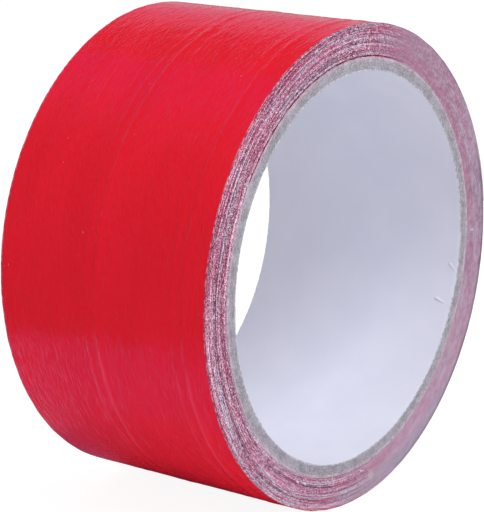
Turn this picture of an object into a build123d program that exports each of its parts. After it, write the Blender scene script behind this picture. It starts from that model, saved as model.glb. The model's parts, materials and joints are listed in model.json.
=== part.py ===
from build123d import *
import math
import os

# Roll of cloth-reinforced adhesive tape on a spiral-wound paper core.
# It stands on its tread like a wheel: the axis runs along Y, +Z is up, and the origin is
# the middle of the bore. Angles are counted in the XZ plane, from +X towards +Z, and the
# tape runs clockwise, to smaller angles, on its way out from the core to its free end.
# Lengths are in millimetres and angles in degrees.

# Core: a white liner and grey board plies, each a strip wound in a helix and glued
bore_diameter = 76.2
liner_thickness = 0.3
board_ply_thickness = 0.575
board_ply_count = 4
ply_strip_width = 102.0
ply_seam_gap = 0.35
liner_seam_angle = 96.0
ply_seam_stagger = 82.0

# Roll: the core and the tape are slit together, so one width serves both
roll_width = 48.5

# Tape: film outside, cloth scrim in the middle, adhesive towards the core
film_thickness = 0.075
scrim_thickness = 0.05
adhesive_thickness = 0.05
bonded_turns = 34
tape_start_angle = 146.0
tape_end_angle = 6.0

# Free end: the last stretch of tape, which a hand lifts off the roll
free_end_length = 15.0
release_gap = 0.04

os.makedirs("parts", exist_ok=True)

bore_radius = bore_diameter / 2
board_radius = bore_radius + liner_thickness
core_radius = board_radius + board_ply_count * board_ply_thickness
tape_thickness = adhesive_thickness + scrim_thickness + film_thickness

# Where each layer of the tape lies in its thickness, from the adhesive face outwards
layer_spans = {
    "adhesive": (0, adhesive_thickness),
    "scrim": (adhesive_thickness, adhesive_thickness + scrim_thickness),
    "film": (adhesive_thickness + scrim_thickness, tape_thickness),
}


def polar(radius, angle, center=(0, 0)):
    """Point of the side view at a radius and an angle about a centre."""
    return (
        center[0] + radius * math.cos(math.radians(angle)),
        center[1] + radius * math.sin(math.radians(angle)),
    )


# ---- Core --------------------------------------------------------------------------
# A strip of one width, wound edge to edge, climbs faster round a smaller ply, so each
# ply has its own pitch. The seams are staggered, as the winder sets them.

core_plies = [("core_liner", bore_radius, liner_thickness)]
for ply in range(board_ply_count):
    ply_radius = board_radius + ply * board_ply_thickness
    core_plies.append((f"core_ply_{ply + 1}", ply_radius, board_ply_thickness))

for index, (ply_name, ply_radius, ply_thickness) in enumerate(core_plies):
    circumference = 2 * math.pi * ply_radius
    helix_angle = math.asin(ply_strip_width / circumference)
    seam_path = Edge.make_helix(
        pitch=circumference * math.tan(helix_angle),
        height=roll_width + 8 * ply_seam_gap,
        radius=ply_radius + ply_thickness / 2,
        center=(0, -roll_width / 2 - 4 * ply_seam_gap, 0),
        normal=(0, 1, 0),
    ).rotate(Axis.Y, -liner_seam_angle - index * ply_seam_stagger)
    seam_start = seam_path @ 0
    seam_plane = Plane(
        origin=seam_start,
        x_dir=Vector(seam_start.X, 0, seam_start.Z),
        z_dir=seam_path % 0,
    )
    with BuildPart() as core_ply:
        with BuildSketch(Plane.XZ):
            Circle(ply_radius + ply_thickness)
            Circle(ply_radius, mode=Mode.SUBTRACT)
        extrude(amount=roll_width / 2, both=True)
        with BuildSketch(seam_plane):
            Rectangle(2 * ply_thickness, ply_seam_gap)
        sweep(path=seam_path, is_frenet=True, mode=Mode.SUBTRACT)
    core_ply.part.label = ply_name
    export_step(core_ply.part, f"parts/{ply_name}.step")

# ---- First turn ----------------------------------------------------------------------
# The tape starts square across the core. It lies on the round core for almost a turn,
# then leaves it on a straight bridge and climbs onto its own start. The bridge is the
# tangent from the start's upper corner to the core, and it leaves a thin wedge of air.

start_radius = core_radius + tape_thickness
bridge_angle = math.degrees(math.acos(core_radius / start_radius))
lift_angle = tape_start_angle + bridge_angle
bridge_direction = lift_angle - 90
bridge_length = start_radius * math.sin(math.radians(bridge_angle))


def first_turn_edge(depth):
    """Line of the first turn at a depth in the tape, from its start to its climb."""
    radius = core_radius + depth
    lift_point = polar(radius, lift_angle)
    climb_point = polar(bridge_length, bridge_direction, lift_point)
    arc = CenterArc((0, 0), radius, tape_start_angle, bridge_angle - 360)
    Line(lift_point, climb_point)
    return arc @ 0, climb_point


for layer, (bottom, top) in layer_spans.items():
    with BuildPart() as first_turn:
        with BuildSketch(Plane.XZ):
            with BuildLine():
                low_start, low_climb = first_turn_edge(bottom)
                high_start, high_climb = first_turn_edge(top)
                Line(low_start, high_start)
                Line(low_climb, high_climb)
            make_face()
        extrude(amount=roll_width / 2, both=True)
    first_turn.part.label = f"first_turn_{layer}"
    export_step(first_turn.part, f"parts/first_turn_{layer}.step")

# ---- Outer spiral --------------------------------------------------------------------
# Away from the start the turns even out into a spiral. One turn of it is two half turns,
# arcs that meet without a corner. Their centres lie half a thickness apart, so the radius
# gains one thickness over the turn.

center_offset = tape_thickness / 4
spiral_start_radius = core_radius + (1 + bonded_turns) * tape_thickness
spiral_radii = [
    spiral_start_radius + center_offset,
    spiral_start_radius + 3 * center_offset,
]
spiral_centers = [
    polar(center_offset, tape_end_angle + 180),
    polar(center_offset, tape_end_angle),
]

free_end_angle = math.degrees(free_end_length / spiral_radii[1])
peel_angle = tape_end_angle + free_end_angle


def spiral_point(half, depth, angle):
    """Point of a half turn at a depth above the tape's inner face."""
    return polar(spiral_radii[half] + depth, angle, spiral_centers[half])


def spiral_edge(depth, last_angle):
    """Line of the tape at a depth, from the end's angle round to one in the second half."""
    half_way = tape_end_angle - 180
    CenterArc(spiral_centers[0], spiral_radii[0] + depth, tape_end_angle, -180)
    CenterArc(
        spiral_centers[1], spiral_radii[1] + depth, half_way, last_angle - half_way - 360
    )


# ---- Bonded turns --------------------------------------------------------------------
# The turns between the first and the last hold together as one block. Its bore follows
# the first turn with its climb, and its outside is one turn of the spiral, with the step
# where the outer turn goes on.

with BuildPart() as tape_winding:
    with BuildSketch(Plane.XZ):
        with BuildLine():
            spiral_edge(0, tape_end_angle)
            Line(spiral_point(0, 0, tape_end_angle), spiral_point(1, 0, tape_end_angle))
        make_face()
        with BuildLine():
            Line(first_turn_edge(tape_thickness))
        make_face(mode=Mode.SUBTRACT)
    extrude(amount=roll_width / 2, both=True)
tape_winding.part.label = "tape_winding"
export_step(tape_winding.part, "parts/tape_winding.step")

# ---- Outer turn ----------------------------------------------------------------------
# The last turn of the tape, layer by layer, up to where a hand peels it.

for layer, (bottom, top) in layer_spans.items():
    with BuildPart() as outer_turn:
        with BuildSketch(Plane.XZ):
            with BuildLine():
                spiral_edge(bottom, peel_angle)
                spiral_edge(top, peel_angle)
                for half, angle in enumerate((tape_end_angle, peel_angle)):
                    Line(spiral_point(half, bottom, angle), spiral_point(half, top, angle))
            make_face()
        extrude(amount=roll_width / 2, both=True)
    outer_turn.part.label = f"outer_turn_{layer}"
    export_step(outer_turn.part, f"parts/outer_turn_{layer}.step")

# ---- Free end ------------------------------------------------------------------------
# The cut end of the tape. It has been lifted and laid back, so it lies a release gap
# above the turn below, and it turns about the outer edge of its own film.

for layer, (bottom, top) in layer_spans.items():
    low = bottom + release_gap
    high = top + release_gap
    with BuildPart() as free_end:
        with BuildSketch(Plane.XZ):
            with BuildLine():
                for depth in (low, high):
                    radius = spiral_radii[1] + depth
                    CenterArc(spiral_centers[1], radius, peel_angle, -free_end_angle)
                for angle in (peel_angle, tape_end_angle):
                    Line(spiral_point(1, low, angle), spiral_point(1, high, angle))
            make_face()
        extrude(amount=roll_width / 2, both=True)
    free_end.part.label = f"free_end_{layer}"
    export_step(free_end.part, f"parts/free_end_{layer}.step")

# The joint's axis: the peel line on the free end's film, from which the tip swings out
peel_x, peel_z = spiral_point(1, tape_thickness + release_gap, peel_angle)
print(f"peel line at x {peel_x:.4f}, z {peel_z:.4f}")
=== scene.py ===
import json
import math

import bmesh
import bpy
import numpy as np
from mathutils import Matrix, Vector, noise


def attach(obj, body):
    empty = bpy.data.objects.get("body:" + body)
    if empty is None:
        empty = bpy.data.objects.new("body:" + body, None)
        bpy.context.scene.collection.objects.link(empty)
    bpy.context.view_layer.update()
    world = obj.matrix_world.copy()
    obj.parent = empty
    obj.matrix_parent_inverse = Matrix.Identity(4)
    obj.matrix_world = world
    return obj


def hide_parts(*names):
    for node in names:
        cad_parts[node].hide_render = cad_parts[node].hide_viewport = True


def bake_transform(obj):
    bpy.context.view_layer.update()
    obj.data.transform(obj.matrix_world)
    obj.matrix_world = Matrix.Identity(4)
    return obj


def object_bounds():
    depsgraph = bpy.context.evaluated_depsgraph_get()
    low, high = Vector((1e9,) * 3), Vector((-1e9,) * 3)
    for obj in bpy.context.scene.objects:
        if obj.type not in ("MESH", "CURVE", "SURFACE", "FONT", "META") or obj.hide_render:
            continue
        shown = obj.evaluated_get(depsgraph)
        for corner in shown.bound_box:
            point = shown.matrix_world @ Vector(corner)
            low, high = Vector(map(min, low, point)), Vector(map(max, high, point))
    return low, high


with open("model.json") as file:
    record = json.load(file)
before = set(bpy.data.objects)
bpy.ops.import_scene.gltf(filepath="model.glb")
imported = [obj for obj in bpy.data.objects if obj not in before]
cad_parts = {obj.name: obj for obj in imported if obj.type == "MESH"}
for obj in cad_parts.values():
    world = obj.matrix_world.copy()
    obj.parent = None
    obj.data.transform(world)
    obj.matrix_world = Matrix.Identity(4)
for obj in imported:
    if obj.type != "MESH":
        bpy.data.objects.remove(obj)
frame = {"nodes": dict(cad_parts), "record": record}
cad_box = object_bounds()

# ---- Core liner ----------------------------------------------------------------------
# The bore's white paper liner: one strip of coated paper, wound in a helix edge to edge and
# glued inside the board. Its butt seam runs round the bore, and the slitter leaves its two
# rims a little ragged.

MM = 0.001
core_bore = next(m for m in frame["record"]["mounts"] if m["name"] == "core_bore")
bore_radius = core_bore["dims"]["r_mm"] * MM
half_width = core_bore["dims"]["length_mm"] * MM / 2
liner_thickness = 0.3 * MM
liner_seam_angle = math.radians(104.1)
seam_gap = 0.06 * MM
strip_width = 102 * MM
core_steps = 720
pattern_radius = 44 * MM


def pick_edges(piece, chosen):
    """In edit mode, selects the edges whose middle and direction pass a test."""
    bpy.ops.mesh.select_all(action="DESELECT")
    shape = bmesh.from_edit_mesh(piece.data)
    for edge in shape.edges:
        first, last = (corner.co for corner in edge.verts)
        edge.select_set(bool(chosen((first + last) / 2, last - first)))
    bmesh.update_edit_mesh(piece.data)


def section(name, inner, outer, half, corner=0.0, inner_cuts=0, outer_cuts=0, rim_cuts=0):
    """Outline of a ring's cross-section: X is the radius and Y runs along the bore. corner
    rounds its corners, and the cuts divide its inner, outer and rim sides."""
    bpy.ops.object.select_all(action="DESELECT")
    bpy.ops.mesh.primitive_plane_add(size=1, location=((inner + outer) / 2, 0, 0))
    piece = bpy.context.object
    piece.name = piece.data.name = name
    piece.scale = (outer - inner, 2 * half, 1)
    bpy.ops.object.transform_apply(location=True, rotation=True, scale=True)
    bpy.ops.object.mode_set(mode="EDIT")
    bpy.context.tool_settings.mesh_select_mode = (False, True, False)
    bpy.ops.mesh.select_all(action="SELECT")
    if corner:
        bpy.ops.mesh.bevel(affect="VERTICES", offset=corner, segments=2)
    bpy.ops.mesh.select_all(action="SELECT")
    bpy.ops.mesh.delete(type="ONLY_FACE")
    middle = (inner + outer) / 2
    sides = [
        (inner_cuts, lambda at, along: abs(along.y) > half and at.x < middle),
        (outer_cuts, lambda at, along: abs(along.y) > half and at.x > middle),
        (rim_cuts, lambda at, along: abs(along.x) > (outer - inner) / 2),
    ]
    for cuts, chosen in sides:
        if cuts:
            pick_edges(piece, chosen)
            bpy.ops.mesh.subdivide(number_cuts=cuts)
    bpy.ops.object.mode_set(mode="OBJECT")
    return piece


def apply_modifier(piece, kind, **settings):
    """Adds a modifier with its settings to a piece and applies it."""
    bpy.ops.object.select_all(action="DESELECT")
    piece.select_set(True)
    bpy.context.view_layer.objects.active = piece
    modifier = piece.modifiers.new("step", kind)
    for name, value in settings.items():
        setattr(modifier, name, value)
    bpy.ops.object.modifier_apply(modifier=modifier.name)


def points_of(piece):
    """Places of a piece's vertices, one row each."""
    places = np.empty(len(piece.data.vertices) * 3)
    piece.data.vertices.foreach_get("co", places)
    return places.reshape(-1, 3)


def move_points(piece, places):
    """Puts a piece's vertices at new places."""
    piece.data.vertices.foreach_set("co", np.asarray(places).ravel())
    piece.data.update()


def wind(piece, first_angle, turns, steps_per_turn, shape):
    """Winds a section round the axis, clockwise from the front, from an angle and for so many
    turns. shape(turn, radius, across) gives each point's radius and place across."""
    count = len(piece.data.vertices)
    rounds = math.ceil(turns)
    steps = round(steps_per_turn * turns / rounds)
    apply_modifier(
        piece, "SCREW", axis="Y", angle=math.tau * turns / rounds, iterations=rounds,
        steps=steps, render_steps=steps, use_merge_vertices=False,
    )
    places = points_of(piece)
    turn = (np.arange(len(places)) // count) * turns / (steps * rounds)
    angle = first_angle - math.tau * turn
    radius, across = shape(turn, np.hypot(places[:, 0], places[:, 2]), places[:, 1])
    move_points(piece, np.stack([radius * np.cos(angle), across, radius * np.sin(angle)], 1))
    bpy.ops.object.mode_set(mode="EDIT")
    bpy.ops.mesh.select_all(action="SELECT")
    bpy.ops.mesh.fill_holes(sides=0)
    bpy.ops.mesh.select_all(action="SELECT")
    bpy.ops.mesh.normals_make_consistent(inside=False)
    bpy.ops.object.mode_set(mode="OBJECT")
    bpy.ops.object.shade_smooth_by_angle(angle=math.radians(40))
    return turn


def grain(angle, height, length, pitch, seed=0.0):
    """Smooth random values from -1 to 1 round the roll: length is a feature's size along the
    winding and pitch its size across, where height counts."""
    around = pattern_radius / length
    places = zip(np.cos(angle) * around + seed, np.sin(angle) * around - seed, height / pitch)
    return np.array([noise.noise(Vector(place)) for place in places])


def helix_twist(radius):
    """How far a ply's seam turns over the roll's width, for a strip of the one width."""
    climb = math.asin(strip_width / (math.tau * radius))
    return 2 * half_width / (radius * math.tan(climb))


def ply(name, inner, outer, seam_angle, burr, **cuts):
    """One ply of the core: a strip wound in a helix until its edges meet in a butt seam. burr
    is how far its slit rims stand ragged from its inner face."""
    piece = section(name, inner, outer, half_width, corner=0.06 * MM, **cuts)
    gap = seam_gap / (math.tau * inner)
    worn_depth = 0.9 * MM

    def shape(turn, radius, across):
        angle = -math.tau * turn
        rim = np.clip((np.abs(across) - half_width + worn_depth) / worn_depth, 0, 1) ** 2
        side = np.sign(across)
        rough = grain(angle, radius + across, 1.1 * MM, 0.35 * MM, seam_angle)
        broad = grain(angle, across, 4.5 * MM, 9 * MM, seam_angle + 7)
        ragged = grain(angle, across, 0.8 * MM, 9 * MM, seam_angle + 3)
        across = across + side * rim * (0.045 * rough + 0.03 * broad - 0.02) * MM
        inside = radius < (inner + outer) / 2
        radius = radius + rim * inside * (0.55 * broad + 0.45 * ragged) * burr
        return radius, across

    wind(piece, 0, 1 - gap, core_steps, shape)
    apply_modifier(
        piece, "SIMPLE_DEFORM", deform_method="TWIST", deform_axis="Y", angle=helix_twist(inner)
    )
    places = points_of(piece)
    angle = np.arctan2(places[:, 2], places[:, 0]) + seam_angle
    radius = np.hypot(places[:, 0], places[:, 2])
    move_points(piece, np.stack([radius * np.cos(angle), places[:, 1], radius * np.sin(angle)], 1))
    return piece


class Value:
    """A socket of a finish. Sums, products and quotients of it add Math nodes."""

    def __init__(self, finish, socket):
        self.finish = finish
        self.socket = socket

    def __add__(self, other):
        return self.finish.math("ADD", self, other)

    def __sub__(self, other):
        return self.finish.math("SUBTRACT", self, other)

    def __rsub__(self, other):
        return self.finish.math("SUBTRACT", other, self)

    def __mul__(self, other):
        return self.finish.math("MULTIPLY", self, other)

    def __truediv__(self, other):
        return self.finish.math("DIVIDE", self, other)

    __radd__ = __add__
    __rmul__ = __mul__


class Finish:
    """A node tree in the making, for a material or for the world."""

    def __init__(self, tree):
        self.tree = tree

    def add(self, kind, settings=None, inputs=None, output=0):
        """Adds a node of a kind: its settings first, then the values or links of its inputs.
        Gives back the output of a name or number."""
        node = self.tree.nodes.new("ShaderNode" + kind)
        for name, value in (settings or {}).items():
            if name == "stops":
                for stop in range(len(value) - 2):
                    node.color_ramp.elements.new(0.5)
                for element, (position, colour) in zip(node.color_ramp.elements, value):
                    element.position = position
                    element.color = (*colour, 1)
            else:
                setattr(node, name, value)
        self.set_inputs(node, inputs or {})
        return Value(self, node.outputs[output])

    def set_inputs(self, node, inputs):
        """Gives a node's inputs their numbers, colours or links."""
        for name, value in inputs.items():
            socket = node.inputs[name]
            if isinstance(value, Value):
                self.tree.links.new(value.socket, socket)
            elif isinstance(value, tuple) and socket.type == "RGBA":
                socket.default_value = (*value, 1)
            else:
                socket.default_value = value

    def math(self, operation, *values):
        """One sum on values or numbers, with a Math node."""
        return self.add("Math", {"operation": operation}, dict(enumerate(values)))

    def place(self):
        """Place on the object, in metres."""
        return self.add("TexCoord", {}, {}, "Object")

    def split(self, vector, axes="XYZ"):
        """The values of a vector along its axes."""
        return [self.add("SeparateXYZ", {}, {0: vector}, axis) for axis in axes]

    def stored(self, name):
        """The number kept under a name at each vertex."""
        return self.add("Attribute", {"attribute_name": name}, {}, "Fac")

    def mix(self, factor, first, second):
        """Two colours, mixed by a value."""
        settings = {"data_type": "RGBA"}
        return self.add("Mix", settings, {"Factor": factor, "A": first, "B": second}, 2)

    def range(self, value, low, high, to_low=0.0, to_high=1.0):
        """A value's range, taken smoothly from low..high to another and held at its ends."""
        inputs = {"Value": value, "From Min": low, "From Max": high}
        inputs.update({"To Min": to_low, "To Max": to_high})
        return self.add("MapRange", {"interpolation_type": "SMOOTHSTEP"}, inputs)

    def noise(self, vector, scale=1.0, detail=2.0, roughness=0.5):
        """Plain noise at a place, mostly from 0.25 to 0.75."""
        inputs = {"Vector": vector, "Scale": scale, "Detail": detail, "Roughness": roughness}
        return self.add("TexNoise", {}, inputs)

    def wound(self, length, pitch):
        """Place on the roll for a pattern that runs with the winding: one unit is a length
        along it and a pitch across it, and no seam shows where the turn closes."""
        x, y, z = self.split(self.place())
        reach = self.math("SQRT", x * x + z * z)
        around = pattern_radius / length
        inputs = {"X": x / reach * around, "Y": z / reach * around, "Z": (y + reach) / pitch}
        return self.add("CombineXYZ", {}, inputs)


def finished(name, recipe):
    """A material whose Principled shader's inputs are what recipe(finish) gives."""
    material = bpy.data.materials.new(name)
    material.use_nodes = True
    finish = Finish(material.node_tree)
    shader = material.node_tree.nodes["Principled BSDF"]
    finish.set_inputs(shader, recipe(finish))
    return material


def coat(piece, material):
    """Gives a piece its one material."""
    piece.data.materials.clear()
    piece.data.materials.append(material)


def dress(piece, material, body="roll"):
    """Gives a piece its material, and lets it ride on a body."""
    coat(piece, material)
    if body:
        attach(piece, body)


def bumps(finish, height, distance):
    """Fine relief: a height from 0 to 1, that high at most."""
    return finish.add("Bump", {}, {"Height": height, "Distance": distance})


def cut_end(finish, depth):
    """1 on the slit ends of the roll and 0 more than a depth inside them."""
    across = finish.split(finish.place(), "Y")[0]
    side = finish.math("ABSOLUTE", across)
    return finish.range(side, half_width - depth, half_width - depth / 3)


def liner_recipe(finish):
    """Coated white paper, a little cloudy, and grey and felted where it was cut."""
    place = finish.place()
    cloud = finish.noise(place, 90, 3)
    felt = finish.noise(place, 1400, 3, 0.6)
    fibre = finish.noise(finish.wound(2.2 * MM, 0.5 * MM), 1, 3, 0.6)
    tint = finish.mix(finish.range(cloud, 0.3, 0.7), (0.735, 0.74, 0.85), (0.765, 0.77, 0.876))
    tint = finish.mix(finish.range(fibre, 0.68, 0.8) * 0.25, tint, (0.83, 0.83, 0.90))
    worn = finish.mix(finish.range(felt, 0.4, 0.6), (0.40, 0.38, 0.44), (0.66, 0.64, 0.72))
    return {
        "Base Color": finish.mix(cut_end(finish, 0.16 * MM), tint, worn),
        "Roughness": finish.range(felt, 0.3, 0.7, 0.62, 0.74),
        "Specular IOR Level": 0.3,
        "Normal": bumps(finish, felt * 0.5 + fibre * 0.5, 0.03 * MM),
    }


liner_paper = finished("liner_paper", liner_recipe)
board_radius = bore_radius + liner_thickness
liner = ply(
    "core_liner_paper", bore_radius, board_radius, liner_seam_angle, 0.22 * MM,
    inner_cuts=47, outer_cuts=15, rim_cuts=2,
)
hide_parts("core_liner")
dress(liner, liner_paper)

# ---- Board plies ---------------------------------------------------------------------
# Four plies of grey board, glued round the liner as the liner is, each with its seam a good
# way on from the last. Slit together with the tape, their ends are felted and mottled.

board_ply_thickness = 0.575 * MM
seam_stagger = math.radians(82)


def board_recipe(tint):
    """Recipe for grey board of one tint: matted fibres, with a few pale flecks."""
    def recipe(finish):
        place = finish.place()
        felt = finish.noise(place, 2400, 2, 0.6)
        cloud = finish.noise(place, 520, 2, 0.6)
        fibre = finish.noise(finish.wound(1.1 * MM, 0.16 * MM), 1, 2, 0.6)
        tone = finish.range(felt * 0.42 + fibre * 0.28 + cloud * 0.3, 0.37, 0.63)
        dark = tuple(c * 0.72 for c in tint)
        light = tuple(c * 1.28 for c in tint)
        pale = finish.range(finish.noise(place, 900, 1), 0.70, 0.76) * 0.6
        return {
            "Base Color": finish.mix(pale, finish.mix(tone, dark, light), (0.66, 0.64, 0.64)),
            "Roughness": 0.9,
            "Specular IOR Level": 0.15,
            "Normal": bumps(finish, felt * 0.5 + fibre * 0.5, 0.07 * MM),
        }
    return recipe


board_tints = [
    (0.385, 0.37, 0.425), (0.38, 0.36, 0.415), (0.405, 0.37, 0.43), (0.51, 0.425, 0.50),
]
for index, tint in enumerate(board_tints):
    inner = board_radius + index * board_ply_thickness
    seam_angle = liner_seam_angle + (index + 1) * seam_stagger
    burr = 0.14 * MM if index == 0 else 0.05 * MM
    board = ply(
        f"board_ply_{index + 1}", inner, inner + board_ply_thickness, seam_angle, burr,
        inner_cuts=15, outer_cuts=15, rim_cuts=3,
    )
    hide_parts(f"core_ply_{index + 1}")
    dress(board, finished(f"grey_board_{index + 1}", board_recipe(tint)))

# ---- First turn ----------------------------------------------------------------------
# The tape's three layers where it starts on the core: a soft adhesive coat, a woven cotton
# and polyester scrim, and a red polyethylene film. Only their slit edges show.

core_radius = board_radius + len(board_tints) * board_ply_thickness
adhesive_thickness = 0.05 * MM
scrim_thickness = 0.05 * MM
film_thickness = 0.075 * MM
tape_thickness = adhesive_thickness + scrim_thickness + film_thickness
tape_start = math.radians(146)
bonded_turns = 34
spiral_reach = core_radius + (1 + bonded_turns) * tape_thickness
smear_angle = math.radians(278)
smear_reach = core_radius + 3.2 * MM
smear_place = (
    smear_reach * math.cos(smear_angle), -half_width, smear_reach * math.sin(smear_angle)
)


def on_strip(finish, length, seed):
    """Place on the wound strip for a pattern with its own values on each turn."""
    turn = finish.stored("turn")
    depth = finish.stored("depth")
    each = finish.add("CombineXYZ", {}, {"Z": turn * 7.3 + depth * 0.7 + seed})
    return finish.add("VectorMath", {"operation": "ADD"}, {0: finish.wound(length, 1.0), 1: each})


def slit_edge_recipe(finish):
    """The slit edges of the turns, side by side. On the left the knife cut clean lines of cloth,
    adhesive and red film, and on the right, where it is calm, it smeared them together."""
    place = finish.place()
    x, z = finish.split(place, "XZ")
    reach = finish.math("SQRT", x * x + z * z)
    right = x / core_radius
    up = z / core_radius
    near_core = core_radius + 2.4 * MM
    near_rim = spiral_reach - 0.8 * MM
    calm = finish.range(right - up * 0.1, -0.05, 0.55)

    line = finish.noise(on_strip(finish, 30 * MM, 0.0), 1, 1)
    stain = finish.noise(on_strip(finish, 9 * MM, 57.0), 1, 1)
    dash = finish.noise(on_strip(finish, 1.1 * MM, 31.0), 1, 1)
    band = finish.noise(finish.wound(45 * MM, 1.2 * MM), 1, 1)
    blotch = finish.noise(finish.wound(2.8 * MM, 1.6 * MM), 1, 3, 0.6)
    speck = finish.noise(finish.wound(0.3 * MM, 0.15 * MM), 1, 1)
    patch = finish.noise(place, 520, 3, 0.6)
    fleck = finish.noise(place, 1500, 2, 0.7)
    grit = finish.noise(place, 6000, 0)

    # How light each spot is: fine lines and grit where it is cut clean, broad clouds elsewhere
    top = finish.range(up, 0.65, 0.95) * finish.range(right, -0.5, 0.05)
    lie = (line - 0.5) * (1.8 - top * 0.7) + (dash - 0.5) * 1.1 + (speck - 0.5) * 1.6
    lie = lie + (grit - 0.5) * 1.3 + (fleck - 0.5) * top * 1.3
    lie = lie * finish.range(up * up, 0.55, 1.0, 1.0, 0.72)
    broad = (band - 0.5) * 0.35 + (blotch - 0.5) * (calm * 0.5 + 0.1)
    rim = finish.range(reach, spiral_reach - 2.6 * MM, near_rim)
    rim = rim * finish.range(right, -0.1, -0.5) * finish.range(up, -0.5, 0.1)
    # The stored number darkens the sunk first turn as painted shade of its groove, and makes a few
    # bands of turns lighter or darker in tone
    tone = lie * (1 - calm * 0.75) + broad - finish.stored("shade") + 0.52
    tone = tone + finish.range(up, -0.6, -1.0, 0.0, 0.045) - rim * 0.07

    # Where the red film shows in the clean lines, and where only grey cloth and adhesive do
    low = finish.range(reach, near_core, core_radius + 0.5 * MM)
    dyed = (stain - 0.5) * 6.0 + (speck - 0.5) * 1.2 + (band - 0.5) * 2.4 + low * 0.15 + rim * 0.55
    dyed = dyed + 0.5 - finish.range(up, 0.0, -0.7, 0.0, 0.35)
    dyed = dyed - finish.range(up, 0.7, 1.0, 0.0, 0.25)
    grey_stops = [
        (0.0, (0.07, 0.016, 0.04)), (0.3, (0.25, 0.105, 0.18)), (0.5, (0.395, 0.24, 0.365)),
        (0.7, (0.54, 0.41, 0.55)), (1.0, (0.95, 0.92, 1.0)),
    ]
    dyed_stops = [
        (0.0, (0.12, 0.005, 0.018)), (0.3, (0.38, 0.035, 0.095)), (0.5, (0.55, 0.085, 0.20)),
        (0.7, (0.66, 0.20, 0.37)), (1.0, (0.93, 0.66, 0.82)),
    ]
    grey = finish.add("ValToRGB", {"stops": grey_stops}, {"Fac": tone})
    red = finish.add("ValToRGB", {"stops": dyed_stops}, {"Fac": tone})
    clean = finish.mix(finish.range(dyed, 0.0, 1.0), grey, red)

    # The smeared side: pink clouds, mottled, with painted shade darkening the rim on the far right
    pink = blotch * 0.55 + band * 0.45 + low * 0.1 - 0.04
    soft = finish.mix(finish.range(pink, 0.38, 0.60), (0.53, 0.455, 0.575), (0.54, 0.285, 0.42))
    soft = finish.mix(finish.range(up, 0.4, 0.95) * 0.5, soft, (0.40, 0.185, 0.30))
    finer = (fleck - 0.5) * 1.7 - (patch - 0.5)
    mottle = patch + (speck - 0.5) * 0.14 + (blotch - 0.5) * 0.2
    mottle = mottle + finer * finish.range(up, 0.25, 0.65)
    soft = finish.mix(finish.range(mottle, 0.50, 0.62) * 0.5, soft, (0.35, 0.21, 0.31))
    soft = finish.mix(finish.range(mottle, 0.47, 0.34) * 0.32, soft, (0.70, 0.62, 0.73))
    soft = finish.mix(finish.range(up, -0.05, -0.7) * 0.4, soft, (0.62, 0.48, 0.60))
    # Painted shade: the outer turns, and a little the whole face, darker on the far right
    dark = finish.range(reach, near_rim, spiral_reach + 0.1 * MM, 0.0, 0.65)
    dark = dark + finish.range(reach, near_core, near_rim, 0.0, 0.1)
    dark = dark * finish.range(right, 0.15, 0.5) * finish.range(up, 0.5, 0.2)
    soft = finish.mix(dark, soft, (0.17, 0.10, 0.20))
    tint = finish.mix(calm * 0.84, clean, soft)

    # Greyer inner turns at the bottom, and the smear of adhesive
    under = finish.range(reach, core_radius + 2.0 * MM, spiral_reach - 1.0 * MM)
    under = under * finish.range(up, -0.7, -0.9) * finish.range(right, -0.35, 0.0)
    tint = finish.mix(under * 0.4, tint, (0.38, 0.43, 0.52))
    spot = finish.add("VectorMath", {"operation": "DISTANCE"}, {0: place, 1: smear_place}, "Value")
    spot = finish.range(spot + (patch - 0.5) * 1.6 * MM, 1.7 * MM, 0.4 * MM)
    tint = finish.mix(spot * 0.62, tint, (0.62, 0.58, 0.57))
    return {
        "Base Color": tint,
        "Roughness": 0.5,
        "Specular IOR Level": 0.3,
        "Normal": bumps(finish, line * 0.4 + speck * 0.6, 0.05 * MM),
    }


def first_film_recipe(finish):
    """The first turn's film edge: dark red where it stands bare, partly as painted shade of the gap
    there, and dusty elsewhere.
    """
    x, z = finish.split(finish.place(), "XZ")
    streak = finish.noise(finish.wound(1.8 * MM, 1 * MM), 1, 2)
    # Where it stands bare the edge is painted dark red, partly as the shade of the gap beside the
    # sunk second turn
    bare_and_shaded = finish.range(z / core_radius, 0.45, 0.62) * finish.range(x / core_radius, 0.4, 0.25)
    bare_and_shaded = bare_and_shaded * finish.range(streak, 0.4, 0.53)
    return {
        "Base Color": finish.mix(bare_and_shaded, (0.50, 0.36, 0.44), (0.26, 0.02, 0.055)),
        "Roughness": 0.5,
        "Normal": bumps(finish, streak, 0.04 * MM),
    }


slit_edges = finished("slit_edges", slit_edge_recipe)
first_film = finished("first_film_edge", first_film_recipe)
for layer, material in (("adhesive", slit_edges), ("scrim", slit_edges), ("film", first_film)):
    coat(frame["nodes"][f"first_turn_{layer}"], material)

# ---- Wound turns ---------------------------------------------------------------------
# The next 34 turns: one strip of tape, wound on itself in a true spiral. Each turn's slit
# edge lies a little higher or lower than its neighbours', with the red film's edge against
# the cloth and the adhesive that has crept out between them.

tape_end = math.radians(6)
wound_turns = bonded_turns + (tape_start - tape_end) / math.tau
first_reach = core_radius + tape_thickness
wound_steps = 480


def spiral_rise(turn):
    """Radius gained since the outer turn began: two half turns that meet without a corner."""
    half = np.floor(turn * 2)
    return tape_thickness / 4 * (1 + 2 * half - np.cos(math.tau * turn - half * math.pi))


def under_tape(turn):
    """Radius of the tape's inner face: near the core each turn keeps the first one's sudden
    climb, and further out the climb is spread over the whole turn."""
    whole = np.floor(turn)
    share = turn - whole
    sharpness = 1 + 60 * np.exp(-whole / 3)
    wound = (whole + share**sharpness) * (spiral_reach - first_reach) / wound_turns
    past = np.clip(turn - wound_turns, 0, None)
    return np.where(turn > wound_turns, spiral_reach + spiral_rise(past), first_reach + wound)


def loose_side(angle):
    """1 where the second turn has sunk beside the first, left of the top, and 0 elsewhere."""
    return np.clip((np.sin(angle) - 0.45) * 6, 0, 1) * np.clip((0.4 - np.cos(angle)) * 6, 0, 1)


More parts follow.
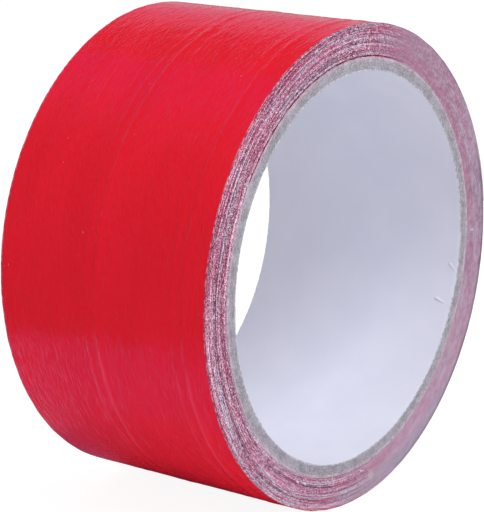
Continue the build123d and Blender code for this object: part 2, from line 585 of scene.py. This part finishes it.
def wound_shape(turn, radius, across):
    """The wound strip: on its spiral, with slit edges that stand in and out a little."""
    depth = (radius - first_reach) / tape_thickness
    angle = tape_start - math.tau * turn
    below, above = under_tape(turn), under_tape(turn + 1)
    reach = below + depth * (above - below)
    side = np.sign(across)
    level = grain(angle, reach + side, 14 * MM, 0.42 * MM, 3.1)
    frayed = grain(angle, reach + depth * MM + side, 1.6 * MM, 0.175 * MM, 9.4)
    sunk = 0.3 * (turn < 1) * loose_side(angle)
    rise = 0.035 * level + 0.045 * frayed - 0.03 * (depth > 0.75) - sunk
    return reach, across + side * rise * MM


def store(piece, name, values):
    """Keeps a number at each vertex, for a finish to read."""
    numbers = piece.data.attributes.new(name, "FLOAT", "POINT")
    numbers.data.foreach_set("value", values.astype(np.float32))


wound = section(
    "wound_tape", first_reach, first_reach + tape_thickness, half_width, rim_cuts=1
)
section_depth = (points_of(wound)[:, 0] - first_reach) / tape_thickness
turn = wind(wound, tape_start, wound_turns, wound_steps, wound_shape)
loose = loose_side(tape_start - math.tau * turn)
# Painted shade of the groove: the sunk first turn is darkened; the next three turns there are
# lighter, and turns 4 to 12 a little darker in tone
shade = loose * (0.26 * (turn < 1) - 0.1 * (turn >= 1) * (turn < 4))
shade += 0.05 * (turn >= 4) * (turn < 12)
store(wound, "depth", np.resize(section_depth, len(turn)))
store(wound, "shade", shade)
store(wound, "turn", turn)
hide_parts("tape_winding")
dress(wound, slit_edges)

# ---- Start bead ----------------------------------------------------------------------
# A bead of adhesive and frayed cloth, squeezed out of the wedge of air where the second turn
# climbs over the square-cut start of the first.

bead_angle = math.radians(147.2)
bead_reach = core_radius + 0.85 * MM
bead_radius = 0.5 * MM
bpy.ops.object.select_all(action="DESELECT")
bpy.ops.mesh.primitive_ico_sphere_add(subdivisions=4, radius=bead_radius)
bead = bpy.context.object
bead.name = bead.data.name = "start_bead"
bead_points = points_of(bead)
lumps = np.array([noise.noise(Vector(point) * 4200) for point in bead_points])
lumps += 0.5 * np.array([noise.noise(Vector(point) * 9000) for point in bead_points])
bead_points *= (1 + 0.5 * lumps)[:, None]
radial = np.array([math.cos(bead_angle), 0, math.sin(bead_angle)])
along = np.array([math.sin(bead_angle), 0, -math.cos(bead_angle)])
inward = np.array([0, 1, 0])
middle = radial * bead_reach - inward * half_width
move_points(bead, middle + bead_points @ np.stack([along * 0.7, inward * 0.45, radial * 1.25]))
bpy.ops.object.shade_smooth()

warp_pitch = 0.9 * MM
weft_pitch = 1.2 * MM


def adhesive_recipe(finish):
    """Pale sticky adhesive, with the cloth's warp and weft showing through."""
    place = finish.place()
    x, y, z = finish.split(place)
    round_the_roll = finish.math("ARCTAN2", z, x) * spiral_reach
    warp = finish.math("SINE", y * (math.tau / warp_pitch))
    weft = finish.math("SINE", round_the_roll * (math.tau / weft_pitch))
    lumps = finish.noise(place, 1500, 3, 0.6)
    cloth = warp * 0.15 + weft * 0.15 + lumps
    return {
        "Base Color": finish.mix(
            finish.range(cloth, 0.25, 0.75), (0.50, 0.46, 0.47), (0.74, 0.71, 0.71)
        ),
        "Roughness": finish.range(lumps, 0.3, 0.7, 0.3, 0.5),
        "Normal": bumps(finish, cloth, 0.08 * MM),
    }


adhesive_coat = finished("adhesive_coat", adhesive_recipe)
dress(bead, adhesive_coat)

# ---- Cut thread ends -----------------------------------------------------------------
# Ends of the cloth's cross threads, cut by the slitter and pulled out a little on both side
# faces, loose paper fibres at the core's two rims, and two slivers of paper that lift off the
# liner near its front rim. All are one bent thread, copied.

thread_seed = np.random.default_rng(11)
big_tufts = [(243, 42.1), (246, 42.0), (260, 41.2), (273.5, 41.6), (108, 46.0)]
strands_per_tuft = 3
tufts_per_side = 56
root_depth = 0.03 * MM
end_thickness = 0.1 * MM
big_end_thickness = 0.24 * MM
big_end_growth = 3.2
flat_end_angle = math.radians(359.5)
flat_end_reach = 42.9 * MM
flat_end_way = Vector((-1, -0.12, 0.1))
flat_end_length = 1.4 * MM
flat_end_thickness = 0.3 * MM
fibres_per_rim = 26
fibre_depth = 0.25 * MM
fibre_thickness = 0.045 * MM
slivers = [((338.5, -20.2), (337.2, -23.4)), ((349.8, -22.2), (347.2, -24.2))]
sliver_lift = 0.3 * MM
sliver_thickness = 1.2 * MM

bpy.ops.object.select_all(action="DESELECT")
bpy.ops.mesh.primitive_cylinder_add(vertices=5, radius=1, depth=1, location=(0, 0, 0.5))
pattern = bpy.context.object
bpy.ops.object.transform_apply(location=True, rotation=True, scale=True)
bpy.ops.object.mode_set(mode="EDIT")
pick_edges(pattern, lambda at, along: abs(along.z) > 0.5)
bpy.ops.mesh.subdivide(number_cuts=4)
bpy.ops.mesh.select_all(action="SELECT")
bpy.ops.mesh.normals_make_consistent(inside=False)
bpy.ops.object.mode_set(mode="OBJECT")
pattern_points = points_of(pattern)


def lay_thread(foot, way, lean, length, thickness, bend=0.8):
    """Copies the pattern thread: it leaves its foot one way and bends over to another."""
    bpy.ops.object.select_all(action="DESELECT")
    pattern.select_set(True)
    bpy.context.view_layer.objects.active = pattern
    bpy.ops.object.duplicate()
    copy = bpy.context.object
    way, lean = Vector(way).normalized(), Vector(lean)
    lean = (lean - way * lean.dot(way)).normalized()
    third = way.cross(lean)
    x, y, z = pattern_points.T
    bent = bend * length * z**2
    thin = thickness / 2 * (1 - 0.5 * z)
    places = np.outer(length * z, way) + np.outer(bent + thin * x, lean) + np.outer(thin * y, third)
    move_points(copy, np.array(foot) + places)
    return copy


def ring_place(angle, reach, across):
    """A place on the roll, and the ways outwards and along the winding there."""
    out = Vector((math.cos(angle), 0, math.sin(angle)))
    return out * reach + Vector((0, across, 0)), out, Vector((out.z, 0, -out.x))


tufts = []
for side in (-1, 1):
    spots = [(math.radians(angle), reach * MM) for angle, reach in big_tufts]
    spots += [
        (math.radians(thread_seed.uniform(78, 262)), thread_seed.uniform(core_radius, spiral_reach))
        for tuft in range(tufts_per_side)
    ]
    for spot, (angle, reach) in enumerate(spots):
        foot, out, along = ring_place(angle, reach, side * (half_width - root_depth))
        sideways = Vector((0, side, 0))
        big = spot < len(big_tufts)
        for strand in range(strands_per_tuft if big else 1):
            turn_over = along * thread_seed.uniform(-1, 1) + out * thread_seed.uniform(-0.5, 0.5)
            way = sideways + turn_over
            length = thread_seed.uniform(0.15, 0.35) * MM * (big_end_growth if big else 1)
            thickness = big_end_thickness if big else end_thickness
            tufts.append(lay_thread(foot, way, turn_over - sideways * 0.6, length, thickness))
foot = ring_place(flat_end_angle, flat_end_reach, root_depth - half_width)[0]
tufts.append(
    lay_thread(foot, flat_end_way, (0, -1, 0), flat_end_length, flat_end_thickness, bend=0.1)
)
fibres = []
for side in (-1, 1):
    for fibre in range(fibres_per_rim):
        angle = thread_seed.uniform(0, math.tau)
        foot, out, along = ring_place(angle, bore_radius, side * (half_width - fibre_depth))
        way = along * thread_seed.uniform(-1, 1) - out * 0.4
        way.y = side * thread_seed.uniform(-0.6, 0.3)
        lean = along * thread_seed.uniform(-1, 1) + out * 0.4
        length = thread_seed.uniform(0.4, 1.6) * MM
        fibres.append(lay_thread(foot, way, lean, length, fibre_thickness))
for (foot_angle, foot_across), (tip_angle, tip_across) in slivers:
    reach = bore_radius + sliver_lift
    foot, _, along = ring_place(math.radians(foot_angle), reach, foot_across * MM)
    tip = ring_place(math.radians(tip_angle), reach, tip_across * MM)[0]
    way = tip - foot
    fibres.append(lay_thread(foot, way, along, way.length, sliver_thickness, bend=0.1))


def joined(name, copies):
    """One piece out of a list of copies."""
    bpy.ops.object.select_all(action="DESELECT")
    for copy in copies:
        copy.select_set(True)
    bpy.context.view_layer.objects.active = copies[0]
    bpy.ops.object.join()
    piece = bpy.context.object
    piece.name = piece.data.name = name
    bpy.ops.object.shade_smooth()
    return piece


def thread_recipe(finish):
    """Twisted white thread, with a fine twist."""
    twist = finish.noise(finish.place(), 6000, 1)
    return {
        "Base Color": finish.mix(twist, (0.70, 0.66, 0.70), (0.95, 0.93, 0.95)),
        "Roughness": 0.8,
        "Normal": bumps(finish, twist, 0.02 * MM),
    }


cloth_thread = finished("cloth_thread", thread_recipe)
dress(joined("cut_threads", tufts), cloth_thread)
dress(joined("rim_fibres", fibres), liner_paper)
bpy.ops.object.select_all(action="DESELECT")
pattern.select_set(True)
bpy.ops.object.delete()

# ---- Outer turn ----------------------------------------------------------------------
# The last turn of the tape, up to where a hand peels it. Its film is drawn tight over the
# cloth, so the threads print through as short ripples that run with the winding. It has a few
# long creases from the coating line and slit edges turned up a little, and on its lower left
# painted sheen streaks along its ripples and creases.

free_end_length = 15 * MM
last_half_radius = spiral_reach + 0.75 * tape_thickness
peel_turn = 1 - free_end_length / last_half_radius / math.tau
creases = [
    (1.15 * MM, 0.36 * MM, 0.12), (-1.9 * MM, 0.3 * MM, 0.02), (3.65 * MM, 0.34 * MM, 0.06),
    (-19.15 * MM, 0.36 * MM, 0.11), (-16.55 * MM, 0.33 * MM, 0.055), (11.9 * MM, 0.32 * MM, 0.03),
]
film_cuts = 229
outer_steps = 360
thread_pitch = 1.12 * MM
turned_up = 0.5 * MM
cloth_depth = adhesive_thickness + scrim_thickness
film_middle = spiral_reach + cloth_depth + film_thickness / 2


def film_relief(angle, across):
    """Height of the film's surface over its nominal one, in millimetres: the print of the
    cloth, strongest near the top left and the lower left, the creases and the raised edges."""
    drift = 2.6 * grain(angle, across, 3.6 * MM, 2.2 * MM, 2.9)
    threads = np.maximum(np.sin(across * (math.tau / thread_pitch) + drift), 0) ** 2
    swell = np.maximum(0.3 + 1.6 * grain(angle, across, 2.4 * MM, 1.3 * MM, 5.2), 0)
    ripple = 0.45 * threads * swell + 0.45 * grain(angle, across, 2.4 * MM, 0.75 * MM, 1.7)
    patch = 0.8 + 0.6 * grain(angle, across, 26 * MM, 9 * MM, 8.8)
    tight = 0.65 + 0.55 * np.maximum(np.cos(angle - math.radians(110)), 0) ** 12
    tight += 0.45 * np.maximum(np.cos(angle - math.radians(208)), 0) ** 8
    height = 0.14 * ripple * patch * tight
    for middle, width, rise in creases:
        fade = 0.8 + 0.7 * grain(angle, across * 0 + middle, 12 * MM, MM, 6.1)
        offset = (across - middle) / width
        height = height + rise * fade * np.exp(-(np.maximum(offset, -0.5 * offset) ** 2))
    edge = np.clip((np.abs(across) - half_width + turned_up) / turned_up, 0, 1)
    return height + 0.03 * edge * (0.4 + grain(angle, across, 2.2 * MM, 4 * MM, 4.4))


def drawn_to_creases(across):
    """Moves points towards the creases, where the film bends most."""
    for middle, width, rise in creases:
        offset = across - middle
        across = across - 0.5 * offset * np.exp(-((offset / (0.9 * MM)) ** 2))
    return across


def film_shape(turn, radius, across):
    """The outer turn's film: on its spiral, with its relief outside and frayed slit edges."""
    angle = tape_end - math.tau * turn
    outside = radius > film_middle
    edge = np.abs(across) > half_width - 0.05 * MM
    across = drawn_to_creases(across)
    relief = film_relief(angle, across) * MM
    frayed = grain(angle, across, 1.8 * MM, MM, 7.7) * 0.03 * MM
    across = across + np.sign(across) * edge * frayed
    return radius + spiral_rise(turn) + outside * relief, across


def film_recipe(finish):
    """Glossy red film, paler where its slit edges and its dust are, with painted sheen streaks on
    its lower left and painted shade on its slit edges at the right.
    """
    weave = finish.noise(finish.wound(1.7 * MM, 0.52 * MM), 1, 1, 0.5)
    fine = finish.noise(finish.wound(0.9 * MM, 0.17 * MM), 1, 1, 0.5)
    broad = finish.noise(finish.wound(22 * MM, 7 * MM), 1, 2)
    place = finish.place()
    x, across, z = finish.split(place)
    # Painted sheen: pale streaks along the ripples, stronger towards the back edge
    painted_sheen_streaks = finish.range(finish.noise(finish.wound(3.6 * MM, 0.42 * MM), 1, 1), 0.54, 0.74)
    painted_sheen_streaks = painted_sheen_streaks * finish.range(across / half_width, -0.2, 0.3, 0.45, 1.0)
    relief = weave * 0.17 + fine * 0.03
    for middle, width, rise in creases:
        offset = (across - middle) / width
        offset = finish.math("MAXIMUM", offset, offset * -0.5)
        bell = finish.math("EXPONENT", offset * offset * -1.0)
        relief = relief + bell * rise * 0.8
        # Painted highlight along each crease
        painted_sheen_streaks = painted_sheen_streaks + bell * bell * rise * 8.0
    dust = finish.range(finish.noise(place, 1500, 0), 0.87, 0.9)
    tint = finish.mix(finish.range(broad, 0.3, 0.7), (0.82, 0.013, 0.026), (0.87, 0.014, 0.029))
    tint = finish.mix(dust * 0.4, tint, (0.9, 0.35, 0.35))
    # The painted sheen is laid only on the lower left of the roll
    painted_sheen_zone = finish.range(z / spiral_reach, -0.17, -0.30)
    painted_sheen_zone = painted_sheen_zone * finish.range(x / spiral_reach, -0.66, -0.76)
    tint = finish.mix(painted_sheen_streaks * painted_sheen_zone * 0.8, tint, (0.92, 0.05, 0.09))
    fringe = finish.noise(finish.wound(0.9 * MM, 0.3 * MM), 1, 1)
    slit = finish.mix(finish.range(fringe, 0.42, 0.62), (0.50, 0.04, 0.09), (0.68, 0.32, 0.43))
    # Painted shade: the film's slit edges turn dark towards the right
    slit = finish.mix(finish.range(x / core_radius, 0.1, 0.5), slit, (0.24, 0.13, 0.21))
    return {
        "Base Color": finish.mix(cut_end(finish, 0.36 * MM), tint, slit),
        "Roughness": finish.range(weave, 0.3, 0.7, 0.10, 0.18),
        "Specular IOR Level": 0.3,
        "Specular Tint": (1.0, 0.25, 1.0),
        "Coat Weight": (weave - 0.5) * 1.6 + (fine - 0.5) * 1.2 + 0.2,
        "Coat Roughness": 0.12,
        "Normal": bumps(finish, relief, MM),
    }


red_film = finished("red_film", film_recipe)
outer_film = section(
    "outer_turn_red_film", spiral_reach + cloth_depth, spiral_reach + tape_thickness,
    half_width, outer_cuts=film_cuts,
)
wind(outer_film, tape_end, peel_turn, outer_steps, film_shape)
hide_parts("outer_turn_film")
dress(outer_film, red_film)
for layer in ("adhesive", "scrim"):
    coat(frame["nodes"][f"outer_turn_{layer}"], slit_edges)

peel_angle = tape_end - math.tau * peel_turn
end_steps = 1400
ramp_length = 1.5 * MM


def covered_shape(turn, radius, across):
    """The film of the turn below the free end, flat at first and then with its relief."""
    angle = peel_angle - math.tau * turn
    ramp = np.clip(turn * math.tau * spiral_reach / ramp_length, 0, 1) ** 2
    outside = radius > spiral_reach - 0.01 * MM
    relief = np.clip(film_relief(angle, across), 0, 0.03) * MM * ramp
    return radius + spiral_rise(turn + peel_turn) + outside * relief, across


covered_film = section(
    "covered_film", spiral_reach - 0.02 * MM, spiral_reach, half_width - 0.02 * MM,
    outer_cuts=film_cuts,
)
wind(covered_film, peel_angle, 1 - peel_turn, end_steps, covered_shape)
dress(covered_film, red_film)

# ---- Free end ------------------------------------------------------------------------
# The cut end of the tape, lifted once and laid back. Film, cloth and adhesive stay together
# where they leave the roll.

release_gap = 0.04 * MM
bend_length = 3.5 * MM
strip_cuts = 39
underside_cuts = 119
layer_depths = {
    "adhesive": (0, adhesive_thickness),
    "scrim": (adhesive_thickness, cloth_depth),
    "film": (cloth_depth, tape_thickness),
}


def scrim_recipe(finish):
    """White cloth, whose threads run with the winding."""
    threads = finish.noise(finish.wound(0.9 * MM, 0.3 * MM), 1, 3, 0.6)
    tint = finish.mix(finish.range(threads, 0.35, 0.65), (0.58, 0.53, 0.60), (0.74, 0.71, 0.77))
    return {
        "Base Color": tint,
        "Roughness": 0.85,
        "Normal": bumps(finish, threads, 0.05 * MM),
    }


def free_shape(turn, radius, across):
    """A layer of the free end, which clears the film below and has the film's relief on top."""
    angle = peel_angle - math.tau * turn
    outside = radius > film_middle
    if outside.any():
        across = drawn_to_creases(across)
    along = turn * math.tau * spiral_reach
    lift = release_gap * np.clip(along / ramp_length, 0, 1) ** 2
    relief = film_relief(angle, across) * MM * outside
    return radius + spiral_rise(turn + peel_turn) + lift + relief, across


free_end_finishes = {
    "adhesive": (adhesive_coat, "adhesive_coat"),
    "scrim": (finished("cloth_scrim", scrim_recipe), "cloth_scrim"),
    "film": (red_film, "red_film"),
}
peel_point, _, tip_way = ring_place(peel_angle, spiral_reach + tape_thickness, 0)
for layer, (low, high) in layer_depths.items():
    free_end = section(
        f"free_end_{layer}_strip", spiral_reach + low, spiral_reach + high, half_width,
        outer_cuts=film_cuts if layer == "film" else strip_cuts,
        inner_cuts=underside_cuts if layer == "adhesive" else strip_cuts,
    )
    wind(free_end, peel_angle, 1 - peel_turn, end_steps, free_shape)
    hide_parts(f"free_end_{layer}")
    material, slot = free_end_finishes[layer]
    dress(free_end, material, body=None)
    peel_point + tip_way * bend_length
    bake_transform(free_end)

# ---- Floor, light and camera ---------------------------------------------------------
# A plain pale floor under the roll, one large soft lamp high on the left in front, and an
# even pale room with a bright backdrop behind.

floor_radius = 3.0
floor_height = cad_box[0].z - 0.02 * MM
floor_glow = 1.12
glow_share = 0.82
bpy.ops.object.select_all(action="DESELECT")
bpy.ops.mesh.primitive_circle_add(
    vertices=96, radius=floor_radius, fill_type="NGON", location=(0, 0, floor_height)
)
floor = bpy.context.object
floor.name = "floor"
bpy.ops.object.transform_apply(location=True)


def floor_recipe(finish):
    """Pale matt floor. The roll's gloss mirrors it dimmer, in painted reflection colours: reddish
    near the roll, violet further out, dark beyond, and pale beside it.
    """
    x, y = finish.split(finish.place(), "XY")
    reach = finish.math("SQRT", x * x + y * y)
    mirrored = finish.add("LightPath", {}, {}, "Is Glossy Ray")
    # Painted reflection colours, seen only in the roll's gloss: reddish near the roll, violet
    # further out, dark beyond, and a pale wedge beside it
    sheen = finish.mix(finish.range(reach, 0.034, 0.065), (0.46, 0.13, 0.30), (0.26, 0.17, 0.56))
    sheen = finish.mix(finish.range(reach, 0.040, 0.026), sheen, (1.0, 0.16, 0.34))
    sheen = finish.mix(finish.range(reach, 0.102, 0.110), sheen, (0.04, 0.03, 0.06))
    beside = finish.range(y + x * 0.8, 0.0, 0.012) * finish.range(reach, 0.040, 0.052)
    beside = beside * finish.range(reach, 0.110, 0.100)
    sheen = finish.mix(beside, sheen, (0.68, 0.48, 0.74))
    return {
        "Base Color": finish.mix(mirrored, (0.94, 0.94, 0.94), sheen),
        "Roughness": 0.9,
        "Specular IOR Level": 0.1,
    }


# Looked at straight, the floor is nearly plain white and keeps a soft shadow of the roll
pale_floor = finished("pale_floor", floor_recipe)
floor_nodes = pale_floor.node_tree.nodes
finish = Finish(pale_floor.node_tree)
glow = finish.add("Emission", {}, {"Color": (1.0, 1.0, 1.0), "Strength": floor_glow})
seen = finish.add("LightPath", {}, {}, "Is Camera Ray")
shaded = Value(finish, floor_nodes["Principled BSDF"].outputs[0])
lit = finish.add("MixShader", {}, {0: seen * glow_share, 1: shaded, 2: glow})
finish.set_inputs(floor_nodes["Material Output"], {"Surface": lit})
coat(floor, pale_floor)


def soft_lamp(name, place, size, level):
    """A square soft lamp aimed at the roll. level is the brightness it gives a white face
    turned straight to it."""
    bpy.ops.object.light_add(type="AREA", location=place)
    lamp = bpy.context.object
    lamp.name = name
    lamp.data.shape = "SQUARE"
    lamp.data.size = size
    lamp.data.energy = level * math.pi**2 * Vector(place).length_squared
    lamp.rotation_euler = Vector(place).to_track_quat("Z", "Y").to_euler()


soft_lamp("key_lamp", (-0.09, -0.58, 0.82), 0.6, 0.61)
soft_lamp("low_lamp", (-0.42, -0.20, -0.05), 0.18, 0.055)

world = bpy.data.worlds.new("pale_room")
bpy.context.scene.world = world
world.use_nodes = True
room = Finish(world.node_tree)
across_room, depth_room, up = room.split(room.add("TexCoord", {}, {}, "Generated"))
mirrored = room.add("LightPath", {}, {}, "Is Glossy Ray")
seen = room.add("LightPath", {}, {}, "Is Camera Ray")

# What the gloss mirrors: the bright wall behind and a box of light in the ceiling
behind = across_room * 0.81 + depth_room * 0.58
wall = room.math(
    "MAXIMUM",
    room.range(behind, 0.1, 0.4) * room.range(across_room + depth_room, 0.70, 0.80),
    room.range(depth_room, -0.1, -0.4),
)
wall = wall * room.range(up, 0.56, 0.52) * room.range(up, 0.02, 0.2, 0.76, 0.53)
ceiling_box = room.range(across_room, 0.25, 0.21) * room.range(across_room, -0.6, 0.15)
ceiling_box = ceiling_box * room.range(up, 0.5, 0.62)
strip = room.range(depth_room, 0.36, 0.56)
mirror = 0.03 + (wall * 0.62 + ceiling_box * 0.38) * (strip * 0.8 + 0.2)

# The even light of the room, a little dimmer on the left, and the white that is seen behind
even = 0.455 + room.range(depth_room, 0.2, 0.9) * 0.56 - room.range(depth_room, -0.2, -1.0) * 0.04
left = room.range(across_room, -0.1, -0.8) * room.range(depth_room, 0.5, 0.1)
even = even - left * room.range(up, 0.75, 0.3) * 0.19
ambient = even + (mirror - even) * mirrored
strength = ambient + (1 - ambient) * seen
warm = room.mix(room.range(depth_room, 0.1, 0.4), (0.88, 0.81, 1.2), (1.65, 0.80, 1.25))
tint = room.mix(room.range(up, -0.05, 0.25) * mirrored, (1.0, 1.0, 1.0), warm)
tint = room.mix(ceiling_box * mirrored, tint, (0.9, 0.12, 1.15))
background = world.node_tree.nodes["Background"]
room.set_inputs(background, {"Color": tint, "Strength": strength})

camera_azimuth = math.radians(-53.01)
camera_elevation = math.radians(14.17)
camera_distance = 447.96 * MM
camera_lens = 159.3
camera_sensor = 36
aim_right, aim_up = -2.39 * MM, -1.06 * MM
back = Vector((
    math.sin(camera_azimuth) * math.cos(camera_elevation),
    -math.cos(camera_azimuth) * math.cos(camera_elevation),
    math.sin(camera_elevation),
))
right = Vector((0, 0, 1)).cross(back).normalized()
upward = back.cross(right)
bpy.ops.object.camera_add(
    location=right * aim_right + upward * aim_up + back * camera_distance,
    rotation=back.to_track_quat("Z", "Y").to_euler(),
)
camera = bpy.context.object
camera.data.lens = camera_lens
camera.data.sensor_width = camera_sensor
camera.data.clip_start = 0.01
bpy.context.scene.camera = camera
bpy.context.scene.view_settings.view_transform = "Standard"
